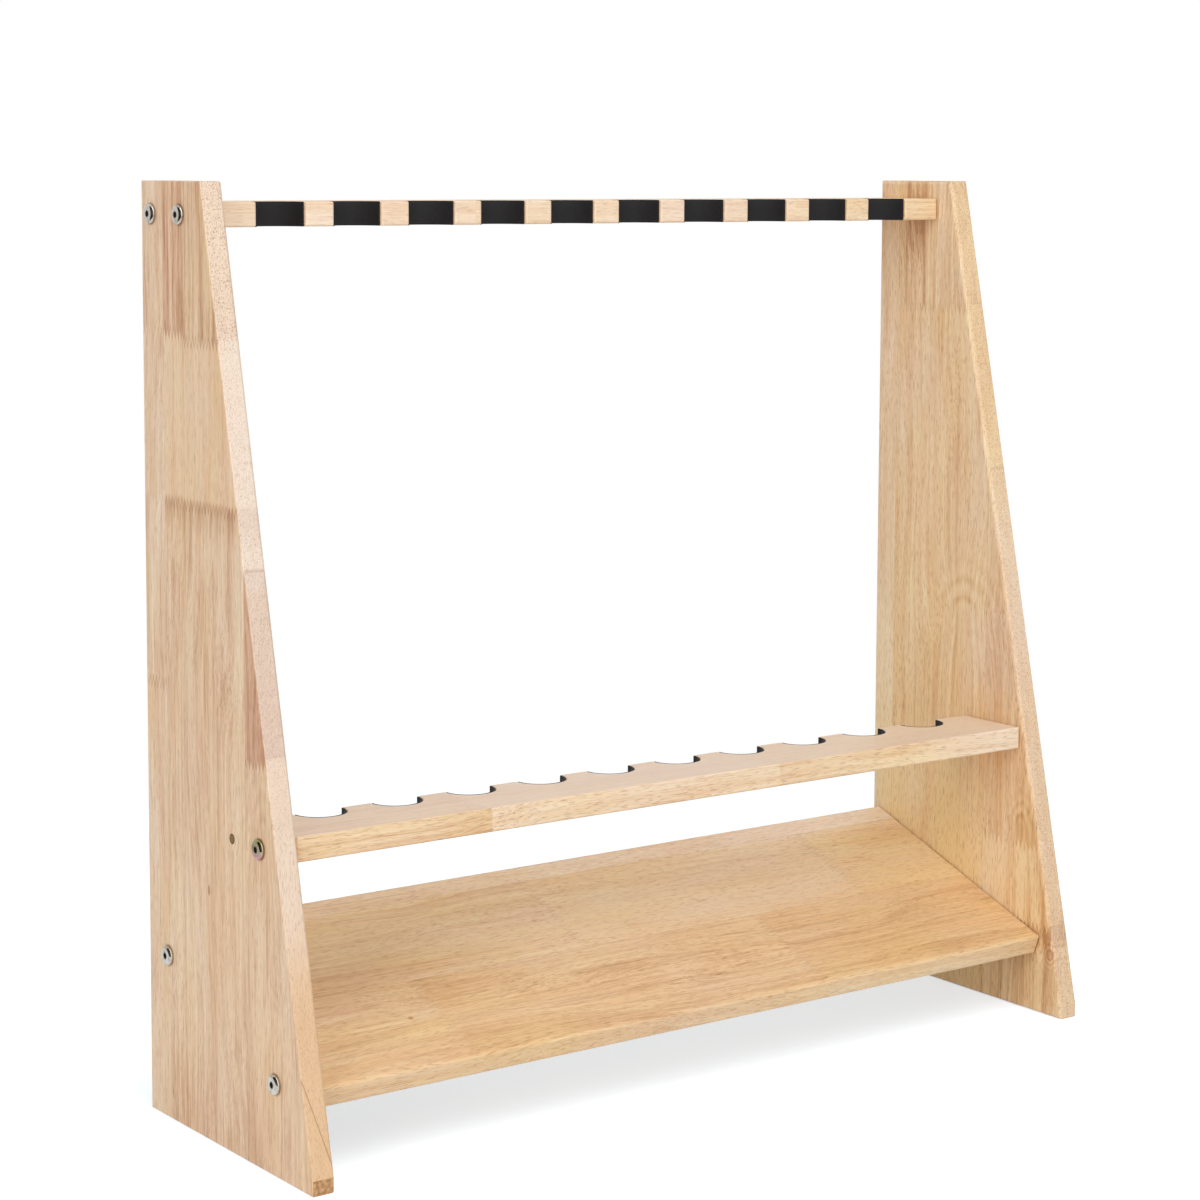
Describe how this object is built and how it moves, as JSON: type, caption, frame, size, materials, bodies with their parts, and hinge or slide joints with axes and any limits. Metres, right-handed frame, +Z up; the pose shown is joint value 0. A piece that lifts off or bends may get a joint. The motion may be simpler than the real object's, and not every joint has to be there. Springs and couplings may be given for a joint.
{
  "type": "rod rack",
  "caption": "Freestanding wooden rod rack: two tapered end panels, a notched top bar, a notched middle bar and a sloping bottom board.",
  "frame": {"origin": "on the floor under the middle of the rack", "axes": "+X along the rack from the left end panel to the right one, +Y towards the back, +Z up"},
  "size_m": [0.696, 0.222, 0.65],
  "materials": {
    "panel_wood": "clear satin lacquer on pale edge-glued hardwood",
    "board_wood": "clear satin lacquer on pale edge-glued hardwood",
    "bar_wood": "clear satin lacquer on pale hardwood",
    "pad_foam": "matt closed-cell foam",
    "bolt_nickel": "bright nickel plate",
    "nut_steel": "zinc plate",
    "dowel_wood": "bare end grain"
  },
  "bodies": {
    "root": {"left_panel": "panel_wood", "right_panel": "panel_wood", "top_bar": "bar_wood", "mid_bar": "bar_wood", "bottom_board": "board_wood", "top_pad_01": "pad_foam", "top_pad_02": "pad_foam", "top_pad_03": "pad_foam", "top_pad_04": "pad_foam", "top_pad_05": "pad_foam", "top_pad_06": "pad_foam", "top_pad_07": "pad_foam", "top_pad_08": "pad_foam", "top_pad_09": "pad_foam", "top_pad_10": "pad_foam", "mid_pad_01": "pad_foam", "mid_pad_02": "pad_foam", "mid_pad_03": "pad_foam", "mid_pad_04": "pad_foam", "mid_pad_05": "pad_foam", "mid_pad_06": "pad_foam", "mid_pad_07": "pad_foam", "mid_pad_08": "pad_foam", "mid_pad_09": "pad_foam", "mid_pad_10": "pad_foam", "top_bar_bolts": "bolt_nickel", "mid_bar_bolts": "bolt_nickel", "bottom_board_bolts": "bolt_nickel", "top_bar_nuts": "nut_steel", "mid_bar_nuts": "nut_steel", "bottom_board_nuts": "nut_steel", "mid_bar_dowels": "dowel_wood"}
  },
  "joints": []
}
